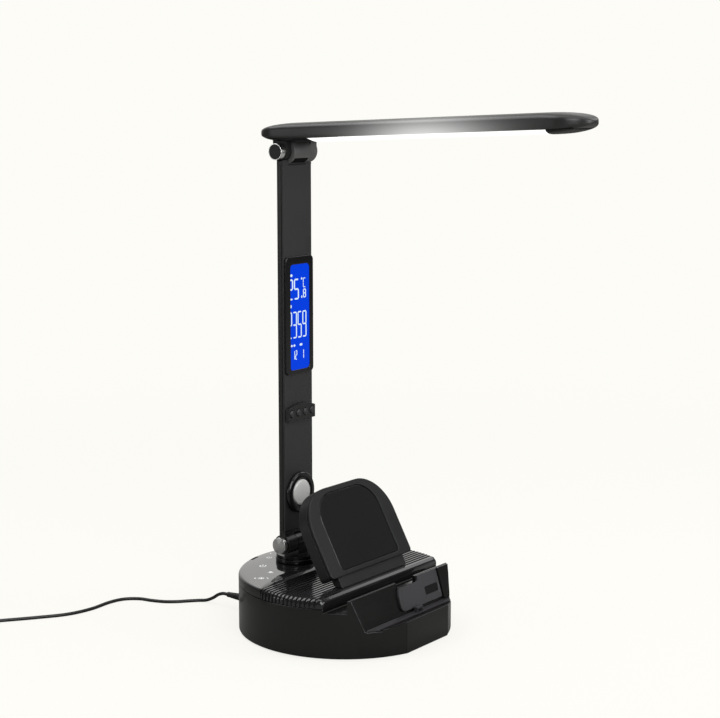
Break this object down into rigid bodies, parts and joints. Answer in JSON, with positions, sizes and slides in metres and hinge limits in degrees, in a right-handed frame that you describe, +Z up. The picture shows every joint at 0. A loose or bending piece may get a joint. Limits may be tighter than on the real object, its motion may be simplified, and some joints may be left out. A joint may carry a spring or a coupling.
{
  "type": "led desk lamp",
  "caption": "Desk lamp with a round base, a leaning phone rest, a post carrying a clock and a watch charger, and a slim light bar that tilts.",
  "frame": {"origin": "centre of the round base on the surface it stands on", "axes": "+Z up; -Y is the front, where the clock faces and the light bar reaches; +X to the clock's right as seen from the front"},
  "size_m": [0.3339, 0.4507, 0.3827],
  "materials": {
    "base_shell": "satin black moulded plastic, fine grain",
    "bottom_cover": "plain black plastic",
    "grip_pad": "matt black soft rubber sheet",
    "weight_plate": "plain iron plate",
    "main_board": "green circuit board",
    "rib_deck": "gloss black, grooved",
    "touch_panel": "high gloss black with white printed signs",
    "swivel_ring": "satin black",
    "turntable": "satin black",
    "spindle_nut": "plain hexagon nut",
    "stand_shell": "satin black",
    "stand_frame": "satin dark grey",
    "charging_plate": "gloss black",
    "charging_coil": "wound enamelled copper",
    "coil_shield": "ferrite sheet",
    "earbud_seat": "satin dark grey",
    "seat_stop": "satin black",
    "ledge_strip": "satin dark grey",
    "earbud_contact": "satin dark grey",
    "power_jack": "black moulded jack",
    "usb_port": "black moulded socket",
    "post_shell": "satin black",
    "post_front": "satin black",
    "clock_lens": "gloss black window over a blue display",
    "clock_module": "blue lit display",
    "clock_board": "green circuit board",
    "keypad_bezel": "satin black",
    "watch_ring": "gloss black",
    "watch_puck": "silver grey, finely knurled",
    "lower_pin": "plain steel pin",
    "head_cover": "satin black",
    "head_bracket": "satin black",
    "head_tip": "satin black",
    "diffuser": "frosted white, lit",
    "light_guide": "clear acrylic sheet",
    "reflector": "white film",
    "led_board": "metal-backed strip",
    "upper_pin": "plain steel pin",
    "power_plug": "black moulded plug",
    "strain_relief": "soft black",
    "power_cord": "soft black sheath",
    "cord_coil": "soft black sheath",
    "usb_plug_body": "black moulded plug",
    "usb_plug_shell": "bright steel",
    "cover_screw": "zinc plated pan head",
    "clock_button": "satin black",
    "lower_cap": "silver painted plastic",
    "upper_knob": "polished chrome cap",
    "knob_face": "black, knurled edge"
  },
  "bodies": {
    "base": {"base_shell": "base_shell", "bottom_cover": "bottom_cover", "grip_pad": "grip_pad", "cover_screw_1": "cover_screw", "cover_screw_2": "cover_screw", "cover_screw_3": "cover_screw", "cover_screw_4": "cover_screw", "weight_plate": "weight_plate", "main_board": "main_board", "rib_deck": "rib_deck", "touch_panel": "touch_panel", "swivel_ring": "swivel_ring", "stand_shell": "stand_shell", "stand_frame": "stand_frame", "charging_plate": "charging_plate", "charging_coil": "charging_coil", "coil_shield": "coil_shield", "earbud_seat": "earbud_seat", "seat_stop": "seat_stop", "ledge_strip": "ledge_strip", "earbud_contact": "earbud_contact", "power_jack": "power_jack", "usb_port": "usb_port", "power_plug": "power_plug", "strain_relief": "strain_relief", "power_cord": "power_cord", "cord_coil": "cord_coil", "usb_plug_body": "usb_plug_body", "usb_plug_shell": "usb_plug_shell"},
    "swivel": {"turntable": "turntable", "spindle_nut": "spindle_nut"},
    "post": {"post_shell": "post_shell", "post_front": "post_front", "clock_lens": "clock_lens", "clock_module": "clock_module", "clock_board": "clock_board", "keypad_bezel": "keypad_bezel", "watch_ring": "watch_ring", "watch_puck": "watch_puck", "lower_pin": "lower_pin", "lower_cap_left": "lower_cap", "lower_cap_right": "lower_cap"},
    "button_1": {"clock_button_1": "clock_button"},
    "button_2": {"clock_button_2": "clock_button"},
    "button_3": {"clock_button_3": "clock_button"},
    "button_4": {"clock_button_4": "clock_button"},
    "head": {"head_cover": "head_cover", "head_bracket": "head_bracket", "head_tip": "head_tip", "diffuser": "diffuser", "light_guide": "light_guide", "reflector": "reflector", "led_board": "led_board", "upper_pin": "upper_pin", "upper_knob_left": "upper_knob", "upper_knob_right": "upper_knob", "knob_face_left": "knob_face", "knob_face_right": "knob_face"}
  },
  "joints": [
    {"name": "base_swivel", "type": "hinge", "parent": "base", "child": "swivel", "pos_m": [0, 0.0465, 0.048], "axis": [0, 0, 1], "range_deg": [-90, 90]},
    {"name": "post_tilt", "type": "hinge", "parent": "swivel", "child": "post", "pos_m": [0, 0.0465, 0.0589], "axis": [1, 0, 0], "range_deg": [-45, 15]},
    {"name": "head_tilt", "type": "hinge", "parent": "post", "child": "head", "pos_m": [0, 0.0465, 0.3524], "axis": [1, 0, 0], "range_deg": [-30, 70]},
    {"name": "button_1_press", "type": "slide", "parent": "post", "child": "button_1", "axis": [0, 1, 0], "range_m": [0, 0.0007], "stiffness_N_per_m": 600, "springref_m": -0.001},
    {"name": "button_2_press", "type": "slide", "parent": "post", "child": "button_2", "axis": [0, 1, 0], "range_m": [0, 0.0007], "stiffness_N_per_m": 600, "springref_m": -0.001},
    {"name": "button_3_press", "type": "slide", "parent": "post", "child": "button_3", "axis": [0, 1, 0], "range_m": [0, 0.0007], "stiffness_N_per_m": 600, "springref_m": -0.001},
    {"name": "button_4_press", "type": "slide", "parent": "post", "child": "button_4", "axis": [0, 1, 0], "range_m": [0, 0.0007], "stiffness_N_per_m": 600, "springref_m": -0.001}
  ]
}
